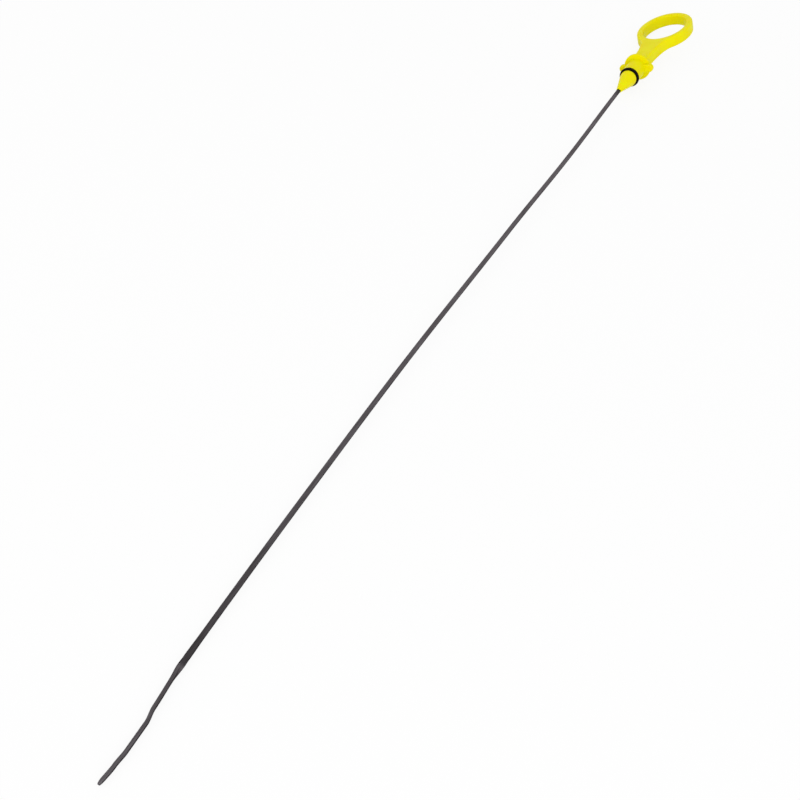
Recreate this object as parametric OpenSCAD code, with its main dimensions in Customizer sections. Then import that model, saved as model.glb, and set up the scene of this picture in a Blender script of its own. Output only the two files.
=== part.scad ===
// Engine oil dipstick: a flat steel blade moulded into a plastic ring handle, with a rubber O-ring.
// The origin lies on the stick's axis, in the plane where the flange seats on the guide tube.
// +X runs along the stick to the finger ring, the blade's tip is towards -X, and +Z is up.
// The dipstick lies as it comes to rest on a table: on the flange's rim, one side of the ring and the tip.

/* [Blade] */
// Width of the flat steel strip
blade_w = 2.55; // [1.8:0.05:3]
// Thickness of the strip
blade_t = 1.6; // [1.1:0.05:1.7]
// Radius of the strip's long edges
blade_edge_r = 0.35; // [0.2:0.05:0.5]
// Length of the blade from the handle's nose to its tip
blade_reach = 547; // [400:1:800]
// Length of the blade held inside the handle
blade_held = 22; // [12:1:24]
// Turn of the strip's wide side out of the ring's plane, about the axis
blade_turn = 30; // [0:1:90]
// Length of the rounded taper at the tip
tip_len = 3; // [2:0.5:6]
// Width of the tip's flat end, as a share of the strip's width
tip_share = 0.45; // [0.3:0.05:0.9]

/* [Blade bends] */
// Quarter turn of the strip: distance from its lower end to the tip
twist_from_tip = 49; // [40:1:90]
// Length over which the strip makes its quarter turn
twist_len = 14; // [12:1:40]
// Distance from the nose at which the blade starts to curve sideways
curve_start = 250; // [150:5:350]
// Radius of that slight sideways curve
curve_radius = 6200; // [4000:100:12000]
// Depth of the strip's slight sideways bow next to the nose
near_bow = 0.9; // [0:0.1:1.5]
// Length of that bow
near_bow_len = 170; // [100:5:200]
// Depth of the opposite bow that follows it
far_bow = 0.4; // [0:0.1:1]
// Length of the opposite bow
far_bow_len = 220; // [150:5:240]
// Sideways set of the strip below the quarter turn
twist_step = 1.2; // [0:0.1:2]
// Lower oil level mark: distance from the tip to the middle of its step
low_mark = 12.5; // [10:0.5:16]
// Distance between the lower and the upper level mark
mark_gap = 20; // [15:1:24]
// Sideways step of the strip at the upper level mark
high_mark_step = 1.1; // [0.4:0.1:1.6]
// Sideways step of the strip at the lower level mark
low_mark_step = 0.6; // [0.3:0.1:1]
// Length of a level mark's step
mark_len = 7; // [4:0.5:9]
// Sideways set of the last stretch, below the lower mark
tip_step = 0.8; // [0:0.1:1]

/* [Nose and plug] */
// Wall of the nose around the blade's corners, where the blade comes out
nose_tip_wall = 0.35; // [0.3:0.05:1]
// Radius of the nose in front of the O-ring
nose_r = 5.6; // [5.4:0.1:6.3]
// Length of the nose's cone
nose_len = 15.6; // [10:0.2:24]
// Length of the round land between the cone and the O-ring groove
nose_land = 2.1; // [0.8:0.1:3]
// Radius of the plug that enters the guide tube
plug_r = 6.6; // [6.4:0.1:6.9]
// Length of the plug from the O-ring groove to the flange
plug_len = 12.9; // [8:0.1:18]
// Chamfer on the plug's round edges
plug_chamfer = 0.3; // [0.1:0.05:0.5]

/* [O-ring] */
// Outer radius of the O-ring
o_ring_r = 6.95; // [6.9:0.05:7.3]
// Diameter of the O-ring's round section
o_ring_section = 2; // [1.8:0.1:2.6]
// Room between the O-ring and each wall of its groove
groove_side_gap = 0.2; // [0.1:0.05:0.4]
// Room between the O-ring's bore and the floor of its groove
groove_floor_gap = 0.05; // [0.02:0.01:0.1]

/* [Flange] */
// Radius of the flange that seats on the guide tube
flange_r = 9.3; // [8.6:0.1:11]
// Thickness of the flange
flange_t = 2; // [1.4:0.1:3]
// Radius of the flange's rounded rim
flange_edge_r = 0.4; // [0.2:0.1:0.6]
// Reach of each side lug from the axis
lug_reach = 12.1; // [11.6:0.1:14]
// Width of the side lugs, across the ring's plane
lug_w = 5.4; // [5:0.1:8]
// Height of the side lugs in front of the flange's seat
lug_rise = 2.6; // [1.5:0.1:4]
// Corner radius of the side lugs
lug_corner_r = 2.2; // [1:0.1:2.4]

/* [Ring handle] */
// Distance from the flange's seat to the centre of the finger ring
ring_x = 54.4; // [50:0.2:65]
// Half of the ring's outer length, along the stick
ring_half_len = 23.5; // [22:0.1:26]
// Half of the ring's outer width
ring_half_w = 19.1; // [17:0.1:20]
// Wall of the ring, in its own plane
ring_wall = 4.6; // [3.6:0.1:5.4]
// Depth of the ring and the neck, across the ring's plane
ring_depth = 7.9; // [6:0.1:9]
// Radius of the ring's rounded edges
ring_edge_r = 1.4; // [0.6:0.1:1.7]
// Half width of the neck where it leaves the flange
neck_half_w = 5.7; // [4:0.1:6.2]
// Gain in the neck's half width along its slow flare
neck_flare = 5.8; // [3:0.1:6]
// Further gain in its half width at the fillet into the ring
neck_fillet = 2; // [0.5:0.1:2.5]
// Radius of the neck's rounded edges
neck_edge_r = 1.4; // [0.6:0.1:1.8]

/* [Hidden] */
$fn = 64;

// Places along the axis, worked out from the seat at x = 0
groove_w = o_ring_section + 2 * groove_side_gap;
groove_end_x = -plug_len;
groove_start_x = groove_end_x - groove_w;
nose_x = groove_start_x - nose_land - nose_len;
o_ring_x = groove_end_x - groove_w / 2;
o_ring_mid_r = o_ring_r - o_ring_section / 2;
groove_r = o_ring_mid_r - o_ring_section / 2 - groove_floor_gap;
tip_x = nose_x - blade_reach;
blade_corner_r = norm([blade_w / 2 - blade_edge_r, blade_t / 2 - blade_edge_r]) + blade_edge_r;
nose_tip_r = blade_corner_r + nose_tip_wall;
nose_tip_chamfer = nose_tip_wall / 2;

// The neck starts inside the flange and ends inside the ring's wall, along an oval of its own
side_sink_share = 0.25;
neck_start_x = flange_t / 2;
neck_end_w = neck_half_w + neck_flare + neck_fillet;
mid_sink = ring_wall - ring_edge_r;
side_sink = ring_wall * side_sink_share;
neck_mid_x = ring_x - ring_half_len + mid_sink;
neck_side_x = ring_x - oval_x(neck_end_w, side_sink);
flare_power = 2.8;
fillet_power = 12;

// How finely the swept shapes are drawn
ring_stations = 72;
neck_stations = 16;
neck_columns = 6;
corner_steps = 3;
tip_steps = 5;
mark_steps = 22;
twist_steps = 16;
curve_steps = 14;
bow_steps = 20;

// Rest on a table: the tip and the flange set the tilt, and the ring's low side sets the roll
tip_half_h = blade_w / 2;
rest_tilt = atan((flange_r - tip_half_h) / (-tip_x - tip_len));
low_reach = ring_half_w - ring_edge_r;
low_depth = ring_depth / 2 - ring_edge_r;
ring_height = flange_r + ring_x * tan(rest_tilt) - ring_edge_r;
rest_roll = asin(ring_height / norm([low_reach, low_depth])) - atan2(low_depth, low_reach);

// Upper half of a rectangle with round corners, from right to left, with extra points along its top
function upper_half(w, h, r, columns) = concat(
    [for (i = [0:corner_steps]) let (angle = 90 * i / corner_steps)
        [w / 2 - r + r * cos(angle), h / 2 - r + r * sin(angle)]],
    [for (i = [1:1:columns - 1]) [(w / 2 - r) * (1 - 2 * i / columns), h / 2]],
    [for (i = [0:corner_steps]) let (angle = 90 + 90 * i / corner_steps)
        [r - w / 2 + r * cos(angle), h / 2 - r + r * sin(angle)]]
);

// The whole rectangle with round corners: its lower half mirrors the upper one, point for point
function round_rect(w, h, r, columns = 1) =
    let (upper = upper_half(w, h, r, columns), last = len(upper) - 1)
    concat(upper, [for (i = [last:-1:0]) [upper[i][0], -upper[i][1]]]);

// Distance from the ring's centre, along the stick, of its oval at the half width y, a given depth inside
function oval_x(y, inside) =
    (ring_half_len - inside) * sqrt(1 - pow(y / (ring_half_w - inside), 2));

// A smooth step from 0 to 1 as x goes from a to b
function ease(x, a, b) =
    let (t = max(0, min(1, (x - a) / (b - a))))
    t * t * (3 - 2 * t);

// A smooth bow of height 1 that starts at the distance a and has a given length
function bow(x, a, length) = pow(sin(180 * max(0, min(1, (x - a) / length))), 2);

// Sideways place of the blade's middle at a distance u from the tip, level with the table
function side_set(u) =
    let (from_nose = blade_reach - u, past = max(0, from_nose - curve_start))
    -past * past / (2 * curve_radius)
    - near_bow * bow(from_nose, 0, near_bow_len)
    + far_bow * bow(from_nose, near_bow_len, far_bow_len)
    - twist_step * ease(u, twist_from_tip + twist_len / 2, low_mark + mark_gap)
    - high_mark_step * ease(u, low_mark + mark_gap + mark_len / 2, low_mark + mark_gap - mark_len / 2)
    + low_mark_step * ease(u, low_mark + mark_len / 2, low_mark - mark_len / 2)
    + tip_step * ease(u, low_mark - mark_len / 2, 0);

// Turn of the wide side about the axis at a distance u from the tip
function strip_turn(u) = blade_turn + 90 * ease(u, twist_from_tip + twist_len, twist_from_tip);

// Share of the full section left at a distance u from the tip, for its rounded taper
function tip_size(u) = tip_share + (1 - tip_share) * sqrt(1 - pow(1 - min(1, u / tip_len), 2));

// Distances from the tip at which the blade's section is set, close together where it bends
function blade_stations() =
    let (twist_end = twist_from_tip + twist_len, curve_len = blade_reach - curve_start - twist_end)
    concat(
        [for (i = [0:tip_steps]) tip_len * i / tip_steps],
        [for (i = [1:mark_steps]) tip_len + (twist_from_tip - tip_len) * i / mark_steps],
        [for (i = [1:twist_steps]) twist_from_tip + twist_len * i / twist_steps],
        [for (i = [1:curve_steps]) twist_end + curve_len * i / curve_steps],
        [for (i = [1:bow_steps]) blade_reach - curve_start * (1 - i / bow_steps)],
        [blade_reach + blade_held]
    );

// A skin over a row of outlines with the same number of points, capped at both ends or closed on itself
module loft(outlines, closed = false) {
    n = len(outlines[0]);
    count = len(outlines);
    end = (count - 1) * n;
    sides = [for (i = [0:closed ? count - 1 : count - 2], j = [0:n - 1])
        let (a = i * n, b = (i + 1) % count * n, k = (j + 1) % n)
        [a + j, b + j, b + k, a + k]];
    start_cap = [for (j = [0:n / 2 - 2]) [j, j + 1, n - 2 - j, n - 1 - j]];
    end_cap = [for (j = [0:n / 2 - 2]) [end + n - 1 - j, end + n - 2 - j, end + j + 1, end + j]];
    polyhedron(points = [for (outline = outlines) each outline],
        faces = closed ? sides : concat(start_cap, sides, end_cap), convexity = 6);
}

// Turns an outline drawn in a plane so that it stands across the stick, and runs it along +X
module along_x(x, length) {
    translate([x, 0, 0]) rotate([90, 0, 90]) linear_extrude(height = length) children();
}

// Spins a profile drawn as radius and x about the stick's axis
module spin_x() {
    rotate([0, 90, 0]) rotate([0, 0, 90]) rotate_extrude() children();
}

// A flat profile with round corners, from primitives that keep true arcs
module soft_square(size, r) {
    translate([r, 0]) square([size[0] - 2 * r, size[1]]);
    translate([0, r]) square([size[0], size[1] - 2 * r]);
    for (x = [r, size[0] - r], y = [r, size[1] - r]) translate([x, y]) circle(r = r);
}

// Lays the dipstick down as it rests on a table
module at_rest() {
    rotate([0, -rest_tilt, 0]) rotate([-rest_roll, 0, 0]) children();
}

// Nose cone, O-ring groove and plug, in one turned shape
module nose_and_plug() {
    spin_x() polygon([
        [0, nose_x],
        [nose_tip_r - nose_tip_chamfer, nose_x],
        [nose_tip_r, nose_x + nose_tip_chamfer],
        [nose_r, nose_x + nose_len],
        [nose_r, groove_start_x - plug_chamfer],
        [nose_r - plug_chamfer, groove_start_x],
        [groove_r, groove_start_x],
        [groove_r, groove_end_x],
        [plug_r - plug_chamfer, groove_end_x],
        [plug_r, groove_end_x + plug_chamfer],
        [plug_r, neck_start_x],
        [0, neck_start_x]
    ]);
}

// Round flange that seats on the guide tube, with a rounded back rim
module flange() {
    spin_x() {
        square([flange_r - flange_edge_r, flange_t]);
        square([flange_r, flange_t - flange_edge_r]);
        translate([flange_r - flange_edge_r, flange_t - flange_edge_r]) circle(r = flange_edge_r);
    }
}

// Bar across the plug that leaves a lug on each side of the flange's seat
module side_lugs() {
    along_x(-lug_rise, lug_rise + flange_t / 2)
        translate([-lug_reach, -lug_w / 2]) soft_square([2 * lug_reach, lug_w], lug_corner_r);
}

// Finger ring: a deep band with rounded edges, swept around an oval
module finger_ring() {
    loft(closed = true, outlines = [
        for (i = [0:ring_stations - 1])
            let (angle = -360 * i / ring_stations,
                 rim = [ring_half_len * cos(angle), ring_half_w * sin(angle)],
                 slope = [cos(angle) / ring_half_len, sin(angle) / ring_half_w],
                 outward = slope / norm(slope))
            [for (p = round_rect(ring_wall, ring_depth, ring_edge_r))
                let (place = rim + (p[0] - ring_wall / 2) * outward)
                [ring_x + place[0], place[1], p[1]]]
    ]);
}

// Neck that widens from the flange in a slow flare and a fillet, and curves to meet the ring's wall
module neck() {
    loft([
        for (i = [0:neck_stations])
            let (t = sin(90 * i / neck_stations),
                 half_w = neck_half_w + neck_flare * pow(t, flare_power) + neck_fillet * pow(t, fillet_power),
                 mid_x = neck_start_x + t * (neck_mid_x - neck_start_x),
                 side_x = neck_start_x + t * (neck_side_x - neck_start_x))
            [for (p = round_rect(2 * half_w, ring_depth, neck_edge_r, neck_columns))
                [mid_x + (side_x - mid_x) * pow(p[0] / half_w, 2), p[0], p[1]]]
    ]);
}

// Pocket in the moulding that the blade's shank fills
module blade_pocket() {
    rotate([blade_turn, 0, 0]) along_x(nose_x - plug_len, plug_len + blade_held)
        polygon(round_rect(blade_w, blade_t, blade_edge_r));
}

// The handle: one yellow moulding
module handle() {
    color("gold") at_rest() difference() {
        union() {
            nose_and_plug();
            flange();
            side_lugs();
            neck();
            finger_ring();
        }
        blade_pocket();
    }
}

// The blade: one strip of spring steel, swept along its bends
module blade() {
    color("dimgray") at_rest() loft([
        for (u = blade_stations())
            let (turn = strip_turn(u), size = tip_size(u), set = side_set(u))
            [for (p = round_rect(blade_w * size, blade_t * size, blade_edge_r * size))
                [tip_x + u,
                 p[0] * cos(turn) - p[1] * sin(turn) + set * cos(rest_roll),
                 p[0] * sin(turn) + p[1] * cos(turn) + set * sin(rest_roll)]]
    ]);
}

// The O-ring in its groove
module o_ring() {
    color("black") at_rest() spin_x()
        translate([o_ring_mid_r, o_ring_x]) circle(d = o_ring_section);
}

handle();
blade();
o_ring();
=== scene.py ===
"""Dressed model of an engine oil dipstick that lies at rest on a pale studio floor.

The dipstick is a slim steel strip, moulded into a yellow handle that has a finger ring, a neck, a
flange, a tube plug with a conical nose, and a rubber sealing ring. Every sub-assembly below is
drawn in millimetres in the stick's own frame: x runs along the stick to the finger ring, y lies
across in the ring's plane, and x = 0 is the flange's seat. RestPose then lays it down, in metres.
"""

import logging
import math
from collections.abc import Iterable
from dataclasses import dataclass, field
from enum import Enum

import bmesh
import bpy
from bmesh.types import BMEdge, BMesh, BMFace, BMVert
from mathutils import Matrix, Vector


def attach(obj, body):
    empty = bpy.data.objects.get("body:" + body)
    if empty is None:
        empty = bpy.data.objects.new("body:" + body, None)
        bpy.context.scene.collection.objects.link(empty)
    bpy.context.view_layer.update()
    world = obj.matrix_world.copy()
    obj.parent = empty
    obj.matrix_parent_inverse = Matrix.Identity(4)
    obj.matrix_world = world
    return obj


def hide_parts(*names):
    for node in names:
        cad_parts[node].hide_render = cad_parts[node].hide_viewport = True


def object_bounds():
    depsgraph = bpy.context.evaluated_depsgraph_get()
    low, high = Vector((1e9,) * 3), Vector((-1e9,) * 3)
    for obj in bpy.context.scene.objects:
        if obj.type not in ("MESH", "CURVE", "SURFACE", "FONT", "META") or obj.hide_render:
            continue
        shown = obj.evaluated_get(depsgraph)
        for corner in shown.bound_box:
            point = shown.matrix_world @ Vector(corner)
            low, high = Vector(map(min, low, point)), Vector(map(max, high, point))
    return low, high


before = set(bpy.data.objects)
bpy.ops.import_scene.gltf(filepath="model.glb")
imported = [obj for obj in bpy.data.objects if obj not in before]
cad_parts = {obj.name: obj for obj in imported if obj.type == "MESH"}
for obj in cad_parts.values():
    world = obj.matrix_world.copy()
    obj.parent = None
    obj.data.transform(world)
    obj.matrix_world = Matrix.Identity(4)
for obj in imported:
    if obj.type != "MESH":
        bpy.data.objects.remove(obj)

LOG = logging.getLogger("dipstick")
METRES = 0.001
CAD_LOW, CAD_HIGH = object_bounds()

# Edges whose faces meet at more than this many degrees get rounded.
CRISP = 60.0
# Vertices of a finished moulding that lie closer than this, in millimetres, become one.
SEAM_WELD = 0.002
# A pattern that runs the same along every axis.
EVEN = (1.0, 1.0, 1.0)
# A Mix node's sockets when it mixes colours.
MIX_FACTOR, MIX_A, MIX_B, MIX_RESULT = 0, 6, 7, 2

Color = tuple[float, float, float]
Triple = tuple[float, float, float]
Socket = bpy.types.NodeSocket


class Slot(Enum):
    """The record's material slots, one for each physical piece."""

    YELLOW = "yellow_plastic"
    STEEL = "strip_steel"
    RUBBER = "black_rubber"


class Shading(Enum):
    """How a mesh is shaded: the angle in degrees past which an edge stays crisp."""

    MOULDED = 38.0
    STRIP = 50.0
    ROUND = 180.0


def ease(x: float, start: float, end: float) -> float:
    """Gives a smooth step.

    Args:
        x: Where the step is read.
        start: Where it is still 0.
        end: Where it has come to 1.

    Returns:
        A value from 0 to 1.
    """
    t = max(0.0, min(1.0, (x - start) / (end - start)))
    return t * t * (3.0 - 2.0 * t)


def bow(x: float, start: float, length: float) -> float:
    """Bows smoothly from 0 up to 1 and back.

    Args:
        x: The place.
        start: Where the bow starts.
        length: How long it is.

    Returns:
        The height of the bow at that place.
    """
    t = min(1.0, max(0.0, (x - start) / length))
    return math.sin(math.pi * t) ** 2


def grey(level: float) -> tuple[float, float, float, float]:
    """Gives a grey in the form that a colour socket takes."""
    return (level, level, level, 1.0)


def sharp_edges(bm: BMesh, degrees: float) -> list[BMEdge]:
    """Lists the edges whose two faces meet at more than an angle.

    Args:
        bm: The mesh.
        degrees: The least angle.

    Returns:
        The edges.
    """
    limit = math.radians(degrees)
    return [e for e in bm.edges if len(e.link_faces) == 2 and e.calc_face_angle(0.0) > limit]


def round_over(bm: BMesh, edges: Iterable[BMEdge], radius: float, steps: int) -> None:
    """Rounds edges over.

    Args:
        bm: The mesh.
        edges: The edges to round.
        radius: The radius in millimetres.
        steps: How many faces make the round.
    """
    bmesh.ops.bevel(
        bm,
        geom=list(edges),
        offset=radius,
        offset_type="OFFSET",
        segments=steps,
        profile=0.5,
        affect="EDGES",
        clamp_overlap=False,
        material=-1,
    )


def new_parts(result: dict, kind: type) -> list:
    """Lists what an operator made, of one kind of element."""
    return [g for g in result["geom"] if isinstance(g, kind)]


@dataclass(frozen=True)
class RestPose:
    """How the dipstick lies on the floor: on its flange, one side of the ring and the tip.

    Attributes:
        tilt: How far the stick's axis leans down to the tip, in degrees.
        roll: How far the stick is rolled about its axis, in degrees.
    """

    tilt: float = 0.796827
    roll: float = 20.7539

    def matrix(self) -> Matrix:
        """Lays the stick down.

        Returns:
            The matrix from the stick's frame, in millimetres, to the row frame, in metres.
        """
        tilt = Matrix.Rotation(math.radians(-self.tilt), 4, "Y")
        roll = Matrix.Rotation(math.radians(-self.roll), 4, "X")
        return tilt @ roll @ Matrix.Scale(METRES, 4)


# ---- finishes


class Graph:
    """A material's nodes, added and joined one at a time.

    Attributes:
        noise_roughness: How strong each finer octave of a noise pattern is.
        noise_low: The value under which little of a noise pattern lies.
        noise_high: The value over which little of it lies.
        tint_start: Where in a noise pattern the first colour stands.
        tint_span: How far after it the last colour stands.
    """

    noise_roughness: float = 0.55
    noise_low: float = 0.3
    noise_high: float = 0.7
    tint_start: float = 0.32
    tint_span: float = 0.36

    def __init__(self, name: str) -> None:
        """Starts an empty material.

        Args:
            name: The material's name.
        """
        self.material = bpy.data.materials.new(name)
        self.material.use_nodes = True
        self.nodes = self.material.node_tree.nodes
        self.nodes.clear()
        self.output = self.add("ShaderNodeOutputMaterial")

    def add(self, kind: str, inputs: dict | None = None, **settings: object) -> bpy.types.Node:
        """Adds a node.

        Args:
            kind: The node's type name.
            inputs: Values for its sockets, by socket name.
            **settings: Values for its own properties.

        Returns:
            The node.
        """
        node = self.nodes.new(kind)
        for key, value in settings.items():
            setattr(node, key, value)
        for key, value in (inputs or {}).items():
            node.inputs[key].default_value = value
        return node

    def join(self, source: Socket, target: bpy.types.Node, into: str | int) -> None:
        """Joins an output to one of a node's inputs."""
        self.material.node_tree.links.new(source, target.inputs[into])

    def noise(self, stretch: Triple, scale: float, detail: float) -> Socket:
        """Adds a noise pattern on the piece's own coordinates.

        Args:
            stretch: How the pattern is scaled along each axis.
            scale: Its fineness, in features a metre.
            detail: Its number of finer octaves.

        Returns:
            The pattern, which runs from 0 to 1.
        """
        place = self.add("ShaderNodeTexCoord")
        mapping = self.add("ShaderNodeMapping", {"Scale": stretch})
        pattern = self.add(
            "ShaderNodeTexNoise",
            {"Scale": scale, "Detail": detail, "Roughness": self.noise_roughness},
        )
        self.join(place.outputs["Object"], mapping, "Vector")
        self.join(mapping.outputs["Vector"], pattern, "Vector")
        return pattern.outputs["Fac"]

    def spread(self, pattern: Socket, low: float, high: float) -> Socket:
        """Maps the middle of a noise pattern to a range of values.

        Args:
            pattern: The noise pattern.
            low: The value for its darker places.
            high: The value for its lighter places.

        Returns:
            The value.
        """
        ends = {
            "From Min": self.noise_low,
            "From Max": self.noise_high,
            "To Min": low,
            "To Max": high,
        }
        remap = self.add("ShaderNodeMapRange", ends)
        self.join(pattern, remap, "Value")
        return remap.outputs["Result"]

    def ramp(self, source: Socket, stops: Iterable[tuple[float, Color]]) -> Socket:
        """Turns a value into colours.

        Args:
            source: The value.
            stops: The values, from 0 up to 1, that have a colour of their own, with that colour.

        Returns:
            The colour.
        """
        node = self.add("ShaderNodeValToRGB")
        elements = node.color_ramp.elements
        ready = len(elements)
        for index, (place, color) in enumerate(stops):
            stop = elements[index] if index < ready else elements.new(place)
            stop.position, stop.color = place, (*color, 1.0)
        self.join(source, node, "Fac")
        return node.outputs["Color"]

    def tint(self, pattern: Socket, colors: tuple[Color, ...]) -> Socket:
        """Turns a noise pattern into colours, spread evenly over its middle.

        Args:
            pattern: The noise pattern.
            colors: The colours, from its darker places to its lighter ones.

        Returns:
            The colour.
        """
        last = len(colors) - 1
        places = [self.tint_start + self.tint_span * index / last for index in range(last + 1)]
        return self.ramp(pattern, zip(places, colors))

    def multiply(self, one: Socket, other: Socket) -> Socket:
        """Multiplies two colours.

        Args:
            one: The first colour.
            other: The second colour.

        Returns:
            Their product.
        """
        node = self.add("ShaderNodeMix", data_type="RGBA", blend_type="MULTIPLY")
        node.inputs[MIX_FACTOR].default_value = 1.0
        self.join(one, node, MIX_A)
        self.join(other, node, MIX_B)
        return node.outputs[MIX_RESULT]

    def bump(self, pattern: Socket, height: float, under: Socket | None = None) -> Socket:
        """Adds a bump.

        Args:
            pattern: The noise pattern that gives its shape.
            height: Its height in metres.
            under: Another bump that it lies on, if any.

        Returns:
            The bumped normal.
        """
        node = self.add("ShaderNodeBump", {"Strength": 1.0, "Distance": height})
        self.join(pattern, node, "Height")
        if under is not None:
            self.join(under, node, "Normal")
        return node.outputs["Normal"]

    def dress(
        self, skin: bpy.types.Node, color: Socket, rough: Socket, bump: Socket
    ) -> bpy.types.Material:
        """Joins a finish together.

        Args:
            skin: Its shader.
            color: Its colour.
            rough: Its roughness.
            bump: Its bumped normal.

        Returns:
            The finished material.
        """
        self.join(color, skin, "Base Color")
        self.join(rough, skin, "Roughness")
        self.join(bump, skin, "Normal")
        self.join(skin.outputs["BSDF"], self.output, "Surface")
        return self.material


def seen_rays(tree: bpy.types.NodeTree) -> Socket:
    """Adds what tells the rays that show a surface from the rays that only light others.

    Args:
        tree: The node tree of a material or a world.

    Returns:
        A socket that is 1 for camera, glossy and transmission rays, and 0 for others.
    """
    rays = tree.nodes.new("ShaderNodeLightPath")
    seen = rays.outputs["Is Camera Ray"]
    for kind in ("Is Glossy Ray", "Is Transmission Ray"):
        either = tree.nodes.new("ShaderNodeMath")
        either.operation = "MAXIMUM"
        tree.links.new(seen, either.inputs[0])
        tree.links.new(rays.outputs[kind], either.inputs[1])
        seen = either.outputs[0]
    return seen


@dataclass(frozen=True)
class MouldedPlastic:
    """Bright yellow moulded plastic with a satin skin, faint flow marks and a fine grain.

    Attributes:
        name: The material's name.
        deep: The colour of the deeper flow marks.
        plain: The colour between them.
        pale: The colour of the paler ones.
        gloss: The least and the greatest roughness.
        ior: The skin's index of refraction.
        specular: How strongly the skin reflects.
        glow: How much light travels under the skin.
        glow_reach: How far it travels, in metres.
        flow_scale: The flow marks' fineness, in features a metre.
        flow_detail: Their number of finer octaves.
        flow: Their height in metres.
        grain_scale: The grain's fineness, in features a metre.
        grain_detail: Its number of finer octaves.
        grain: Its height in metres.
    """

    name: str = "yellow_moulded_plastic"
    deep: Color = (0.775, 0.685, 0.0)
    plain: Color = (0.785, 0.715, 0.0)
    pale: Color = (0.795, 0.745, 0.001)
    gloss: tuple[float, float] = (0.34, 0.46)
    ior: float = 1.2
    specular: float = 0.3
    glow: float = 0.12
    glow_reach: float = 0.002
    flow_scale: float = 90.0
    flow_detail: float = 3.0
    flow: float = 0.00006
    grain_scale: float = 2600.0
    grain_detail: float = 2.0
    grain: float = 0.000012

    def material(self) -> bpy.types.Material:
        """Makes the material.

        Returns:
            The material.
        """
        g = Graph(self.name)
        skin = g.add(
            "ShaderNodeBsdfPrincipled",
            {
                "IOR": self.ior,
                "Specular IOR Level": self.specular,
                "Subsurface Weight": self.glow,
                "Subsurface Scale": self.glow_reach,
            },
        )
        clouds = g.noise(EVEN, self.flow_scale, self.flow_detail)
        grain = g.noise(EVEN, self.grain_scale, self.grain_detail)
        colors = g.tint(clouds, (self.deep, self.plain, self.pale))
        rough = g.spread(grain, *self.gloss)
        flow = g.bump(clouds, self.flow)
        bump = g.bump(grain, self.grain, flow)
        return g.dress(skin, colors, rough, bump)


@dataclass(frozen=True)
class StripSteel:
    """Dull rolled spring steel: dark grey, with draw marks along the strip, faint oil stains, and
    painted light and shade along its length.

    Attributes:
        name: The material's name.
        dark: The colour of the darker draw marks.
        plain: The colour between them.
        light: The colour of the lighter ones.
        stains: The tints of the oil stains and of clean steel, by which the colour is multiplied.
        edge: How bright the steel turns where it is seen at a shallow angle.
        gloss: The least and the greatest roughness.
        streak_stretch: How the draw marks are scaled along each axis.
        streak_scale: Their fineness, in features a metre.
        streak_detail: Their number of finer octaves.
        draw_marks: Their height in metres.
        stain_stretch: How the stains are scaled along each axis.
        stain_scale: Their fineness, in features a metre.
        stain_detail: Their number of finer octaves.
        tip_x: Where the strip's tip lies along the row frame's x, in metres.
        nose_x: Where the strip enters the handle's nose, in metres.
        painted_light_stops: Painted light and shade along the strip, as a brightness at each
            share of the way
            from the tip to the nose: a painted highlight and painted shade round the quarter
                turn, painted
            shade where the strip enters the nose, and a slower change in brightness between them.
            The colour is multiplied by it.
    """

    name: str = "rolled_strip_steel"
    dark: Color = (0.108, 0.099, 0.106)
    plain: Color = (0.154, 0.140, 0.152)
    light: Color = (0.204, 0.188, 0.202)
    stains: tuple[Color, Color] = ((0.80, 0.78, 0.76), (1.0, 1.0, 1.0))
    edge: float = 0.0
    gloss: tuple[float, float] = (0.40, 0.56)
    streak_stretch: Triple = (0.04, 1.0, 1.0)
    streak_scale: float = 2200.0
    streak_detail: float = 4.0
    draw_marks: float = 0.000015
    stain_stretch: Triple = (0.5, 1.0, 1.0)
    stain_scale: float = 60.0
    stain_detail: float = 5.0
    tip_x: float = -0.580
    nose_x: float = -0.033
    # Painted light and shade: a painted highlight (0.101) and painted shade (0.106 to 0.15) round
    # the quarter turn, and painted shade where the strip enters the nose (1.0).
    painted_light_stops: tuple[tuple[float, float], ...] = (
        (0.0, 0.74),
        (0.075, 0.64),
        (0.096, 0.62),
        (0.101, 0.95),
        (0.106, 0.34),
        (0.118, 0.40),
        (0.15, 0.46),
        (0.29, 0.70),
        (0.97, 1.08),
        (0.985, 1.0),
        (1.0, 0.45),
    )

    def material(self) -> bpy.types.Material:
        """Makes the material.

        Returns:
            The material.
        """
        g = Graph(self.name)
        skin = g.add(
            "ShaderNodeBsdfPrincipled", {"Metallic": 1.0, "Specular Tint": grey(self.edge)}
        )
        streaks = g.noise(self.streak_stretch, self.streak_scale, self.streak_detail)
        stains = g.noise(self.stain_stretch, self.stain_scale, self.stain_detail)
        streak_color = g.tint(streaks, (self.dark, self.plain, self.light))
        stain_color = g.tint(stains, self.stains)
        # The steel's colour is multiplied by painted light and shade along the strip.
        painted_light_color = g.multiply(g.multiply(streak_color, stain_color), self._painted_light(g))
        rough = g.spread(streaks, *self.gloss)
        bump = g.bump(streaks, self.draw_marks)
        return g.dress(skin, painted_light_color, rough, bump)

    def _painted_light(self, g: Graph) -> Socket:
        """Adds painted light and shade along the strip, from its tip to the nose.

        Args:
            g: The material's nodes.

        Returns:
            The painted brightness, as a grey.
        """
        place, split = g.add("ShaderNodeTexCoord"), g.add("ShaderNodeSeparateXYZ")
        along = g.add("ShaderNodeMapRange", {"From Min": self.tip_x, "From Max": self.nose_x})
        g.join(place.outputs["Object"], split, 0)
        g.join(split.outputs["X"], along, "Value")
        stops = [(share, (tone, tone, tone)) for share, tone in self.painted_light_stops]
        return g.ramp(along.outputs["Result"], stops)


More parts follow.
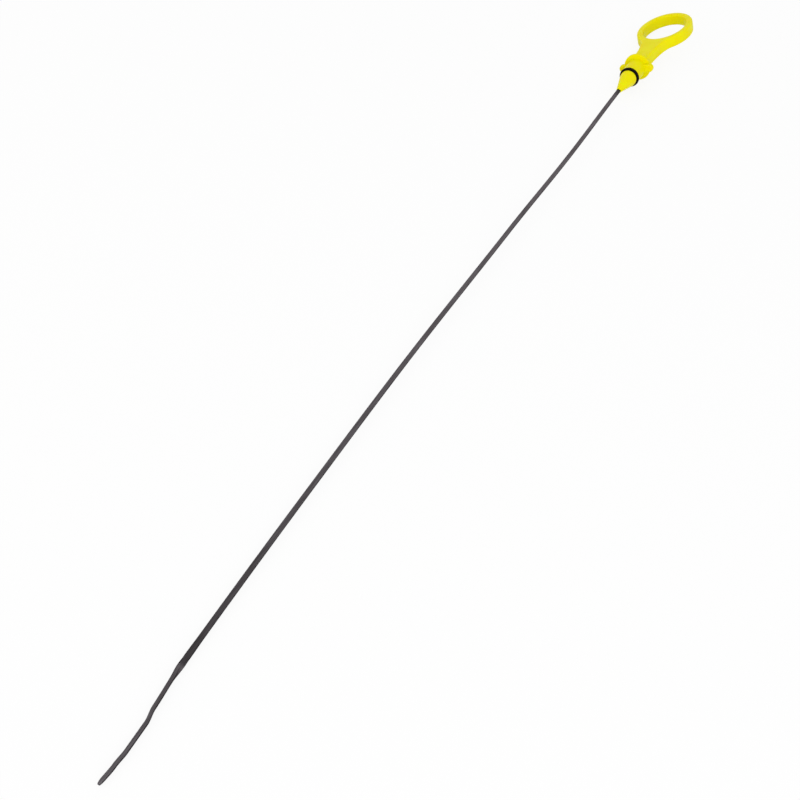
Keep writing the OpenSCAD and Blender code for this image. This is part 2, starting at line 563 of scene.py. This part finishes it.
@dataclass(frozen=True)
class SealRubber:
    """Black moulded rubber with a matt, slightly dusty skin.

    Attributes:
        name: The material's name.
        dark: The rubber's own colour.
        dusty: Its colour under a little dust.
        gloss: The least and the greatest roughness.
        ior: The skin's index of refraction.
        specular: How strongly the skin reflects.
        dust_scale: The dust's fineness, in features a metre.
        dust_detail: Its number of finer octaves.
        grain: The skin's unevenness, as a height in metres.
    """

    name: str = "black_seal_rubber"
    dark: Color = (0.002, 0.0015, 0.001)
    dusty: Color = (0.007, 0.005, 0.004)
    gloss: tuple[float, float] = (0.42, 0.6)
    ior: float = 1.2
    specular: float = 0.25
    dust_scale: float = 900.0
    dust_detail: float = 4.0
    grain: float = 0.00001

    def material(self) -> bpy.types.Material:
        """Makes the material.

        Returns:
            The material.
        """
        g = Graph(self.name)
        skin = g.add(
            "ShaderNodeBsdfPrincipled", {"IOR": self.ior, "Specular IOR Level": self.specular}
        )
        dust = g.noise(EVEN, self.dust_scale, self.dust_detail)
        colors = g.tint(dust, (self.dark, self.dusty))
        rough = g.spread(dust, *self.gloss)
        bump = g.bump(dust, self.grain)
        return g.dress(skin, colors, rough, bump)


@dataclass(frozen=True)
class PaleFloor:
    """White studio paper that bounces light, and that is seen with faint shadows only.

    Attributes:
        name: The material's name.
        bounce: How much of the light the paper throws back on the dipstick.
        seen: How much of its own light and shadow the camera and reflections see.
        lift: The even white that they see under it.
    """

    name: str = "white_studio_paper"
    bounce: float = 0.80
    seen: float = 0.09
    lift: float = 0.892

    def material(self) -> bpy.types.Material:
        """Makes the material.

        Returns:
            The material.
        """
        g = Graph(self.name)
        paper = g.add("ShaderNodeBsdfDiffuse", {"Color": grey(self.bounce)})
        shade = g.add("ShaderNodeBsdfDiffuse", {"Color": grey(self.seen)})
        glow = g.add("ShaderNodeEmission", {"Strength": self.lift})
        lit = g.add("ShaderNodeAddShader")
        both = g.add("ShaderNodeMixShader")
        g.join(shade.outputs["BSDF"], lit, 0)
        g.join(glow.outputs["Emission"], lit, 1)
        g.join(seen_rays(g.material.node_tree), both, 0)
        g.join(paper.outputs["BSDF"], both, 1)
        g.join(lit.outputs["Shader"], both, 2)
        g.join(both.outputs["Shader"], g.output, "Surface")
        return g.material


# ---- meshes to objects


@dataclass(frozen=True)
class Bench:
    """Turns a drawn mesh into a finished object that lies in its rest pose."""

    pose: RestPose = RestPose()

    def finish(
        self, bm: BMesh, name: str, material: bpy.types.Material, slot: Slot, shading: Shading
    ) -> bpy.types.Object:
        """Makes the object and parents it to the dipstick's body.

        Args:
            bm: The mesh, in millimetres in the stick's frame. It is freed.
            name: The object's name.
            material: Its finish.
            slot: The record's slot of that finish. It is not used.
            shading: How its edges are shaded.

        Returns:
            The object, at the origin, riding on the dipstick's one body.
        """
        bmesh.ops.transform(bm, matrix=self.pose.matrix(), verts=bm.verts)
        mesh = bpy.data.meshes.new(name)
        bm.to_mesh(mesh)
        bm.free()
        mesh.materials.append(material)
        for face in mesh.polygons:
            face.use_smooth = True
        mesh.set_sharp_from_angle(angle=math.radians(shading.value))
        piece = bpy.data.objects.new(name, mesh)
        bpy.context.scene.collection.objects.link(piece)
        even = piece.modifiers.new("even_normals", "WEIGHTED_NORMAL")
        even.keep_sharp = True
        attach(piece, "root")
        LOG.info("%s: %d faces", name, len(mesh.polygons))
        return piece


def fused(parts: list[BMesh]) -> BMesh:
    """Joins closed meshes into one skin, as one moulding is.

    Args:
        parts: The closed meshes, in millimetres. They are freed.

    Returns:
        One closed mesh.
    """
    objects = []
    for part in parts:
        mesh = bpy.data.meshes.new("part")
        part.to_mesh(mesh)
        part.free()
        objects.append(bpy.data.objects.new("part", mesh))
        bpy.context.scene.collection.objects.link(objects[-1])
    body = objects[0]
    for other in objects[1:]:
        join = body.modifiers.new("join", "BOOLEAN")
        join.operation, join.solver, join.object = "UNION", "EXACT", other
    bpy.context.view_layer.update()
    whole = body.evaluated_get(bpy.context.evaluated_depsgraph_get())
    out = bmesh.new()
    out.from_mesh(whole.to_mesh())
    whole.to_mesh_clear()
    for spent in objects:
        mesh = spent.data
        bpy.data.objects.remove(spent)
        bpy.data.meshes.remove(mesh)
    bmesh.ops.remove_doubles(out, verts=out.verts, dist=SEAM_WELD)
    bmesh.ops.recalc_face_normals(out, faces=out.faces)
    return out


# ---- the handle, one yellow moulding


@dataclass
class FingerGrip:
    """The oval finger ring and its neck: a flat moulding with rounded edges.

    Attributes:
        centre_x: Where the oval's centre lies along the stick.
        half_len: Half the oval's length along the stick.
        half_wid: Half its width across the stick.
        wall: How broad the ring's band is, seen from above.
        depth: How deep the ring and neck are.
        edge_r: The radius of their edges.
        edge_steps: How many faces make that radius.
        foot_x: Where the neck ends, inside the flange.
        neck_half_w: Half the neck's width at its narrow end.
        flare: How much wider the neck gets on each side by its slow flare.
        flare_power: How late along the neck that flare comes.
        fillet_power: How late along the neck the fillet to the ring comes.
        row_power: How the neck's rows are spaced.
        rim_steps: How many sides the oval has.
        neck_steps: How many of them the neck takes up on each side of the stick.
        stations: How many rows the neck has.
        rim_share: The share of the oval's squared radius past which a vertex counts as on it.
        reach_slack: How far past the neck's root a vertex may lie and still count as its end.
    """

    centre_x: float = 54.5
    half_len: float = 23.05
    half_wid: float = 19.08
    wall: float = 4.6
    depth: float = 7.89
    edge_r: float = 1.44
    edge_steps: int = 5
    foot_x: float = -1.0
    neck_half_w: float = 5.7
    flare: float = 5.0
    flare_power: int = 3
    fillet_power: float = 17.5
    row_power: float = 0.8
    rim_steps: int = 92
    neck_steps: int = 10
    stations: int = 26
    rim_share: float = 0.99
    reach_slack: float = 0.01

    def build(self) -> BMesh:
        """Draws the grip.

        Returns:
            A closed mesh in the stick's frame.
        """
        bm = bmesh.new()
        self._add_ring(bm)
        self._add_neck(bm)
        bm.normal_update()
        bmesh.ops.reverse_faces(bm, faces=[f for f in bm.faces if f.normal.z < 0.0])
        bmesh.ops.solidify(bm, geom=bm.faces[:], thickness=self.depth)
        bmesh.ops.recalc_face_normals(bm, faces=bm.faces)
        low = min(v.co.z for v in bm.verts)
        bmesh.ops.translate(bm, vec=(0.0, 0.0, -self.depth / 2 - low), verts=bm.verts)
        round_over(bm, sharp_edges(bm, CRISP), self.edge_r, self.edge_steps)
        return bm

    def _add_ring(self, bm: BMesh) -> None:
        """Draws the flat oval band of the ring.

        Args:
            bm: The empty mesh.
        """
        bmesh.ops.create_circle(bm, cap_ends=True, segments=self.rim_steps, radius=1.0)
        bmesh.ops.scale(bm, vec=(self.half_len, self.half_wid, 1.0), verts=bm.verts)
        bmesh.ops.translate(bm, vec=(self.centre_x, 0.0, 0.0), verts=bm.verts)
        hole = bm.faces[:]
        bmesh.ops.inset_region(
            bm, faces=hole, thickness=self.wall, use_boundary=True, use_even_offset=True
        )
        bmesh.ops.delete(bm, geom=hole, context="FACES_ONLY")

    def _add_neck(self, bm: BMesh) -> None:
        """Draws the neck by pulling part of the ring's rim out to the flange, row by row.

        Args:
            bm: The mesh, with the ring in it.
        """
        reach = self.half_wid * math.sin(math.tau * self.neck_steps / self.rim_steps)
        rim = [
            e for e in bm.edges if e.is_boundary and all(self._on_root(v, reach) for v in e.verts)
        ]
        fillet = reach - self.neck_half_w - self.flare
        was = reach
        flat = [f for e in rim for f in e.link_faces]
        for row in range(1, self.stations + 1):
            t = 0.0
            if row < self.stations:
                t = math.cos(math.pi / 2 * row / self.stations) ** self.row_power
            half_w = self.neck_half_w + self.flare * t**self.flare_power
            half_w += fillet * t**self.fillet_power
            pulled = bmesh.ops.extrude_edge_only(bm, edges=rim)
            rim = new_parts(pulled, BMEdge)
            flat += new_parts(pulled, BMFace)
            for v in new_parts(pulled, BMVert):
                share = v.co.y / was
                across = share * reach / self.half_wid
                rim_x = self.centre_x - self.half_len * math.sqrt(1.0 - across**2)
                place_x = self.foot_x + t * (rim_x - self.foot_x)
                v.co = Vector((place_x, share * half_w, 0.0))
            was = half_w
        bmesh.ops.dissolve_faces(bm, faces=flat, use_verts=False)

    def _on_root(self, v: BMVert, reach: float) -> bool:
        """Tells whether a vertex lies on the ring's outer rim, where the neck leaves it.

        Args:
            v: The vertex.
            reach: How far the neck's root reaches to each side.

        Returns:
            Whether it does.
        """
        x, y = v.co.x - self.centre_x, v.co.y
        on_rim = (x / self.half_len) ** 2 + (y / self.half_wid) ** 2 > self.rim_share
        return on_rim and x < 0.0 and abs(y) < reach + self.reach_slack


@dataclass
class TubePlug:
    """The turned part of the handle: nose cone, seal groove, plug and flange.

    Attributes:
        nose_x: Where the nose's tip lies along the stick.
        nose_tip_r: The nose's radius at its tip.
        nose_len: How long the cone is.
        nose_r: The radius it ends with.
        groove_x: Where the seal's groove starts.
        groove_w: How wide the groove is.
        groove_r: The radius of its floor.
        plug_r: The plug's radius.
        flange_r: The flange's radius.
        flange_t: How thick the flange is.
        rim_r: The radius of the flange's rims.
        rim_steps: How many faces make that radius.
        edge_r: The radius of the other edges.
        edge_steps: How many faces make that radius.
        crisp: Edges whose faces meet at more than this many degrees get rounded.
        turns: How many sides the round shapes have.
        axis_weld: Vertices that lie closer than this, as on the axis, become one.
    """

    nose_x: float = -33.0
    nose_tip_r: float = 1.7
    nose_len: float = 15.6
    nose_r: float = 5.6
    groove_x: float = -15.3
    groove_w: float = 2.4
    groove_r: float = 4.9
    plug_r: float = 6.6
    flange_r: float = 9.3
    flange_t: float = 2.0
    rim_r: float = 0.4
    rim_steps: int = 4
    edge_r: float = 0.25
    edge_steps: int = 3
    crisp: float = 30.0
    turns: int = 128
    axis_weld: float = 0.001

    def build(self) -> BMesh:
        """Turns the profile about the stick's axis.

        Returns:
            A closed mesh in the stick's frame.
        """
        bm = bmesh.new()
        groove_end = self.groove_x + self.groove_w
        profile = (
            (self.nose_x, 0.0),
            (self.nose_x, self.nose_tip_r),
            (self.nose_x + self.nose_len, self.nose_r),
            (self.groove_x, self.nose_r),
            (self.groove_x, self.groove_r),
            (groove_end, self.groove_r),
            (groove_end, self.plug_r),
            (0.0, self.plug_r),
            (0.0, self.flange_r),
            (self.flange_t, self.flange_r),
            (self.flange_t, 0.0),
        )
        verts = [bm.verts.new((x, r, 0.0)) for x, r in profile]
        edges = [bm.edges.new(pair) for pair in zip(verts, verts[1:])]
        bmesh.ops.spin(
            bm,
            geom=verts + edges,
            axis=(1.0, 0.0, 0.0),
            angle=math.tau,
            steps=self.turns,
            use_merge=True,
        )
        bmesh.ops.remove_doubles(bm, verts=bm.verts, dist=self.axis_weld)
        bmesh.ops.recalc_face_normals(bm, faces=bm.faces)
        split_r = (self.plug_r + self.flange_r) / 2
        crisp = sharp_edges(bm, self.crisp)
        rims = [e for e in crisp if self._radius(e) > split_r]
        others = [e for e in crisp if self._radius(e) < split_r and self._before_seat(e)]
        round_over(bm, rims, self.rim_r, self.rim_steps)
        round_over(bm, [e for e in others if e.is_valid], self.edge_r, self.edge_steps)
        return bm

    def _radius(self, edge: BMEdge) -> float:
        """Gives an edge's distance from the stick's axis."""
        co = edge.verts[0].co
        return math.hypot(co.y, co.z)

    def _before_seat(self, edge: BMEdge) -> bool:
        """Tells whether an edge lies on the nose's side of the flange's seat."""
        return edge.verts[0].co.x < -self.edge_r


@dataclass
class SideLugs:
    """The bar through the plug that leaves a lug on each side, in front of the flange.

    Attributes:
        reach: How far each lug reaches from the axis.
        width: How wide the bar is, in the direction of the ring's depth.
        rise: How far it stands in front of the flange's seat.
        sunk: How far it goes into the flange.
        corner_r: The radius of its four long corners, as seen along the stick.
        corner_steps: How many faces make that radius.
        edge_r: The radius of its other edges.
        edge_steps: How many faces make that radius.
    """

    reach: float = 12.1
    width: float = 5.4
    rise: float = 2.6
    sunk: float = 0.6
    corner_r: float = 2.5
    corner_steps: int = 8
    edge_r: float = 0.7
    edge_steps: int = 4

    def build(self) -> BMesh:
        """Draws the bar.

        Returns:
            A closed mesh in the stick's frame.
        """
        bm = bmesh.new()
        bmesh.ops.create_cube(bm, size=1.0)
        sides = (self.rise + self.sunk, 2 * self.reach, self.width)
        bmesh.ops.scale(bm, vec=sides, verts=bm.verts)
        bmesh.ops.translate(bm, vec=((self.sunk - self.rise) / 2, 0.0, 0.0), verts=bm.verts)
        along = [e for e in bm.edges if abs(e.verts[0].co.x - e.verts[1].co.x) > self.edge_r]
        round_over(bm, along, self.corner_r, self.corner_steps)
        round_over(bm, sharp_edges(bm, CRISP), self.edge_r, self.edge_steps)
        return bm


@dataclass
class Handle:
    """The whole yellow moulding."""

    grip: FingerGrip = field(default_factory=FingerGrip)
    plug: TubePlug = field(default_factory=TubePlug)
    lugs: SideLugs = field(default_factory=SideLugs)
    finish: MouldedPlastic = MouldedPlastic()

    def make(self, bench: Bench) -> bpy.types.Object:
        """Builds and dresses the handle.

        Args:
            bench: What finishes the object.

        Returns:
            The object.
        """
        skin = fused([self.plug.build(), self.lugs.build(), self.grip.build()])
        look = self.finish.material()
        piece = bench.finish(skin, "handle_moulding", look, Slot.YELLOW, Shading.MOULDED)
        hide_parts("handle")
        return piece


# ---- the blade and the sealing ring


@dataclass
class GaugeStrip:
    """The steel strip, with its slight curve, its quarter turn and the two stepped level marks.

    Distances from the tip are called u below, and run towards the handle.

    Attributes:
        width: The strip's width.
        thickness: Its thickness.
        edge_r: The radius of its long edges.
        edge_steps: How many faces make that radius.
        nose_x: Where the handle's nose ends along the stick.
        reach: How far the strip reaches out of the nose.
        held: How far it goes into the handle.
        turn: How its flat side is turned about the stick in the handle, in degrees.
        lie: The angle of the plane that it curves in, in degrees: level in the rest pose.
        tip_len: The length of the rounded tip.
        tip_share: The share of the full section that is left at the very tip.
        tip_lean: How much of the tip's lost thickness comes off one side more than the other.
        twist_low: Where the quarter turn ends, from the tip.
        twist_len: How long the quarter turn is.
        upset: By what share the section is larger round the quarter turn.
        upset_low: Where the larger section starts, from the tip.
        upset_len: How long it is.
        curve_start: How far from the nose the slight curve starts.
        curve_radius: The radius of that curve.
        near_bow: How far the strip bows one way next to the nose.
        near_len: How long that bow is.
        far_bow: How far it bows back after that.
        far_len: How long that bow is.
        twist_step: How far the quarter turn shifts the strip sideways.
        low_mark: Where the low level mark's step lies, from the tip.
        mark_gap: How far the high mark's step is from the low one.
        high_step: How far the strip shifts at the high mark.
        low_step: How far it shifts back at the low mark.
        mark_len: How long each of these two steps is.
        tip_step: How far it shifts back between the low mark and the tip.
        tip_rows: How many rows of faces the tip has.
        mark_rows: How many rows the marks' stretch has.
        twist_rows: How many rows the quarter turn has.
        shank_rows: How many rows the rest of the strip has.
        finish: The strip's material.
    """

    width: float = 2.55
    thickness: float = 1.66
    edge_r: float = 0.35
    edge_steps: int = 4
    nose_x: float = -33.0
    reach: float = 546.999
    held: float = 22.0
    turn: float = 30.0
    lie: float = 20.754
    tip_len: float = 3.4
    tip_share: float = 0.45
    tip_lean: float = 0.35
    twist_low: float = 49.0
    twist_len: float = 14.0
    upset: float = 0.13
    upset_low: float = 46.0
    upset_len: float = 25.0
    curve_start: float = 250.0
    curve_radius: float = 6200.0
    near_bow: float = 0.9
    near_len: float = 170.0
    far_bow: float = 0.4
    far_len: float = 220.0
    twist_step: float = 1.2
    low_mark: float = 12.5
    mark_gap: float = 20.0
    high_step: float = 1.1
    low_step: float = 0.6
    mark_len: float = 7.0
    tip_step: float = 0.8
    tip_rows: int = 8
    mark_rows: int = 60
    twist_rows: int = 36
    shank_rows: int = 60
    finish: StripSteel = StripSteel()

    def sideways(self, u: float) -> float:
        """Gives the strip's sideways place.

        Args:
            u: The distance from the tip.

        Returns:
            The distance from the stick's axis, in the plane that the strip curves in.
        """
        from_nose = self.reach - u
        past = max(0.0, from_nose - self.curve_start)
        high, half = self.low_mark + self.mark_gap, self.mark_len / 2
        return (
            -past * past / (2 * self.curve_radius)
            - self.near_bow * bow(from_nose, 0.0, self.near_len)
            + self.far_bow * bow(from_nose, self.near_len, self.far_len)
            - self.twist_step * ease(u, self.twist_low + self.twist_len / 2, high)
            - self.high_step * ease(u, high + half, high - half)
            + self.low_step * ease(u, self.low_mark + half, self.low_mark - half)
            + self.tip_step * ease(u, self.low_mark - half, 0.0)
        )

    def size(self, u: float) -> float:
        """Gives the section's size.

        Args:
            u: The distance from the tip.

        Returns:
            The share of the full section: less at the rounded tip, more at the quarter turn.
        """
        rest = 1.0 - min(1.0, u / self.tip_len)
        tip = self.tip_share + (1.0 - self.tip_share) * math.sqrt(1.0 - rest * rest)
        return tip * (1.0 + self.upset * bow(u, self.upset_low, self.upset_len))

    def station(self, u: float) -> Matrix:
        """Places the flat section across the stick.

        Args:
            u: The distance from the tip.

        Returns:
            The matrix that takes the section from its own plane to the stick's frame.
        """
        side, lie = self.sideways(u), math.radians(self.lie)
        place = Vector((self.nose_x - self.reach + u, side * math.cos(lie), side * math.sin(lie)))
        turn = self.turn + 90.0 * ease(u, self.twist_low + self.twist_len, self.twist_low)
        across = Matrix(((0, 0, 1, 0), (1, 0, 0, 0), (0, 1, 0, 0), (0, 0, 0, 1)))
        spin = Matrix.Rotation(math.radians(turn), 4, "X")
        size = self.size(u)
        off = -self.tip_lean * max(0.0, 1.0 - size) * self.thickness / 2
        lean = Matrix.Translation((0.0, off, 0.0))
        return Matrix.Translation(place) @ spin @ across @ lean @ Matrix.Scale(size, 4)

    def stations(self) -> list[float]:
        """Lists the distances from the tip at which the strip gets a section.

        Returns:
            The distances, from the tip up. They lie closer together where the tip is rounder.
        """
        low, top = self.twist_low, self.twist_low + self.twist_len
        shares = [i / self.tip_rows for i in range(self.tip_rows + 1)]
        tip = [self.tip_len * (1 - math.cos(math.pi / 2 * share)) for share in shares]
        stretches = (
            (self.tip_len, low - self.tip_len, self.mark_rows),
            (low, self.twist_len, self.twist_rows),
            (top, self.reach + self.held - top, self.shank_rows),
        )
        rows = [
            start + length * i / count
            for start, length, count in stretches
            for i in range(1, count + 1)
        ]
        return tip + rows

    def build(self) -> BMesh:
        """Sweeps the section along the strip.

        Returns:
            A closed mesh in the stick's frame.
        """
        bm = bmesh.new()
        bmesh.ops.create_grid(bm, x_segments=1, y_segments=1, size=0.5)
        bmesh.ops.scale(bm, vec=(self.width, self.thickness, 1.0), verts=bm.verts)
        bmesh.ops.bevel(
            bm,
            geom=bm.verts[:],
            offset=self.edge_r,
            offset_type="OFFSET",
            segments=self.edge_steps,
            profile=0.5,
            affect="VERTICES",
            material=-1,
        )
        bmesh.ops.delete(bm, geom=bm.faces[:], context="FACES_ONLY")
        rim, verts, at = bm.edges[:], bm.verts[:], Matrix.Identity(4)
        for index, u in enumerate(self.stations()):
            if index:
                pulled = bmesh.ops.extrude_edge_only(bm, edges=rim)
                rim, verts = new_parts(pulled, BMEdge), new_parts(pulled, BMVert)
            goal = self.station(u)
            bmesh.ops.transform(bm, matrix=goal @ at.inverted(), verts=verts)
            at = goal
        bmesh.ops.holes_fill(bm, edges=bm.edges, sides=0)
        bmesh.ops.recalc_face_normals(bm, faces=bm.faces)
        return bm

    def make(self, bench: Bench) -> bpy.types.Object:
        """Builds and dresses the strip.

        Args:
            bench: What finishes the object.

        Returns:
            The object.
        """
        skin, look = self.build(), self.finish.material()
        piece = bench.finish(skin, "gauge_strip", look, Slot.STEEL, Shading.STRIP)
        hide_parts("blade")
        return piece


@dataclass
class SealRing:
    """The rubber ring in the plug's groove.

    Attributes:
        place_x: Where its middle lies along the stick.
        outer_r: Its outer radius.
        section: The diameter of its round section.
        section_steps: How many sides the section has.
        turns: How many sections stand round the ring.
        finish: The ring's material.
    """

    place_x: float = -14.1
    outer_r: float = 6.95
    section: float = 2.0
    section_steps: int = 28
    turns: int = 128
    finish: SealRubber = SealRubber()

    def build(self) -> BMesh:
        """Spins the round section about the stick's axis.

        Returns:
            A closed mesh in the stick's frame.
        """
        bm = bmesh.new()
        half = self.section / 2
        bmesh.ops.create_circle(bm, cap_ends=False, segments=self.section_steps, radius=half)
        bmesh.ops.translate(bm, vec=(self.place_x, self.outer_r - half, 0.0), verts=bm.verts)
        bmesh.ops.spin(
            bm,
            geom=bm.verts[:] + bm.edges[:],
            axis=(1.0, 0.0, 0.0),
            angle=math.tau,
            steps=self.turns,
            use_merge=True,
        )
        bmesh.ops.recalc_face_normals(bm, faces=bm.faces)
        return bm

    def make(self, bench: Bench) -> bpy.types.Object:
        """Builds and dresses the sealing ring.

        Args:
            bench: What finishes the object.

        Returns:
            The object.
        """
        skin, look = self.build(), self.finish.material()
        piece = bench.finish(skin, "seal_ring", look, Slot.RUBBER, Shading.ROUND)
        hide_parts("o_ring")
        return piece


# ---- the studio


@dataclass
class SoftBox:
    """A square area lamp that looks at a point of the dipstick.

    Attributes:
        name: The lamp's name.
        place: Where it hangs, in metres.
        look_at: The point it looks at, in metres.
        side: The length of its side, in metres.
        power: Its power in watts.
    """

    name: str
    place: Triple
    look_at: Triple
    side: float
    power: float

    def make(self) -> None:
        """Hangs the lamp."""
        lamp = bpy.data.lights.new(self.name, "AREA")
        lamp.shape, lamp.size, lamp.energy = "SQUARE", self.side, self.power
        holder = bpy.data.objects.new(self.name, lamp)
        holder.location = self.place
        aim = Vector(self.look_at) - Vector(self.place)
        holder.rotation_mode = "QUATERNION"
        holder.rotation_quaternion = aim.to_track_quat("-Z", "Y")
        bpy.context.scene.collection.objects.link(holder)


@dataclass
class Studio:
    """Pale floor, an even white sky that lights from all round, and two soft lamps.

    Attributes:
        sky: The strength with which the sky lights the dipstick.
        horizon: The strength with which it is seen, behind the floor and in reflections.
        floor_half: Half the floor's side, in metres.
        paper: The floor's material.
        lamps: The key lamp and the fill lamp.
    """

    sky: float = 0.87
    horizon: float = 0.975
    floor_half: float = 6.0
    paper: PaleFloor = PaleFloor()
    lamps: tuple[SoftBox, ...] = (
        SoftBox("key_box", (-1.5, -0.7, 0.55), (-0.1, 0.0, 0.0), 1.1, 10.5),
        SoftBox("fill_box", (-1.0, 1.3, 0.95), (-0.1, 0.0, 0.0), 1.8, 3.5),
    )

    def make(self) -> None:
        """Builds the floor, the sky and the lamps."""
        self._add_floor()
        self._add_sky()
        for lamp in self.lamps:
            lamp.make()
        bpy.context.scene.view_settings.view_transform = "Standard"
        LOG.info("studio: floor at %.4f m, %d lamps", CAD_LOW.z, len(self.lamps))

    def _add_floor(self) -> None:
        """Lays the floor under the lowest point of the dipstick."""
        bm = bmesh.new()
        bmesh.ops.create_grid(bm, x_segments=1, y_segments=1, size=self.floor_half)
        bmesh.ops.translate(bm, vec=(0.0, 0.0, CAD_LOW.z), verts=bm.verts)
        mesh = bpy.data.meshes.new("studio_floor")
        bm.to_mesh(mesh)
        bm.free()
        mesh.materials.append(self.paper.material())
        floor = bpy.data.objects.new("studio_floor", mesh)
        bpy.context.scene.collection.objects.link(floor)

    def _add_sky(self) -> None:
        """Sets up the world, which lights at one strength and is seen at another."""
        world = bpy.data.worlds.new("studio_sky")
        world.use_nodes = True
        tree = world.node_tree
        pick = tree.nodes.new("ShaderNodeMapRange")
        pick.inputs["To Min"].default_value = self.sky
        pick.inputs["To Max"].default_value = self.horizon
        sky = tree.nodes["Background"]
        sky.inputs["Color"].default_value = grey(1.0)
        tree.links.new(seen_rays(tree), pick.inputs["Value"])
        tree.links.new(pick.outputs["Result"], sky.inputs["Strength"])
        bpy.context.scene.world = world


@dataclass
class PhotoCamera:
    """The camera at the photograph's viewing angle, in the row frame.

    Attributes:
        place: Where it stands, in metres.
        look_at: The point it looks at, in metres.
        roll: How far it is rolled about its view, in degrees.
        lens: Its focal length in millimetres.
        sensor: The width of its sensor in millimetres.
        shift: The picture's shift to the right and up, as shares of its width.
        clip: The nearest and the farthest distance it sees, in metres.
    """

    place: Triple = (-0.67702, -0.17925, 0.41359)
    look_at: Triple = (-0.34575, -0.00887, -0.00930)
    roll: float = 3.332
    lens: float = 49.5
    sensor: float = 36.0
    shift: tuple[float, float] = (-0.0006, 0.0004)
    clip: tuple[float, float] = (0.01, 50.0)

    def make(self) -> None:
        """Sets up the camera."""
        data = bpy.data.cameras.new("photo_camera")
        data.lens, data.sensor_width = self.lens, self.sensor
        data.shift_x, data.shift_y = self.shift
        data.clip_start, data.clip_end = self.clip
        camera = bpy.data.objects.new("photo_camera", data)
        aim = Vector(self.look_at) - Vector(self.place)
        level = aim.to_track_quat("-Z", "Y").to_matrix().to_4x4()
        turn = level @ Matrix.Rotation(math.radians(self.roll), 4, "Z")
        camera.matrix_world = Matrix.Translation(Vector(self.place)) @ turn
        bpy.context.scene.collection.objects.link(camera)
        bpy.context.scene.camera = camera


def main() -> None:
    """Builds the dipstick and the studio round it."""
    logging.basicConfig(level=logging.INFO, format="%(name)s: %(message)s")
    PhotoCamera().make()
    bench = Bench()
    for part in (Handle(), GaugeStrip(), SealRing()):
        part.make(bench)
    Studio().make()


if __name__ == "__main__":
    main()
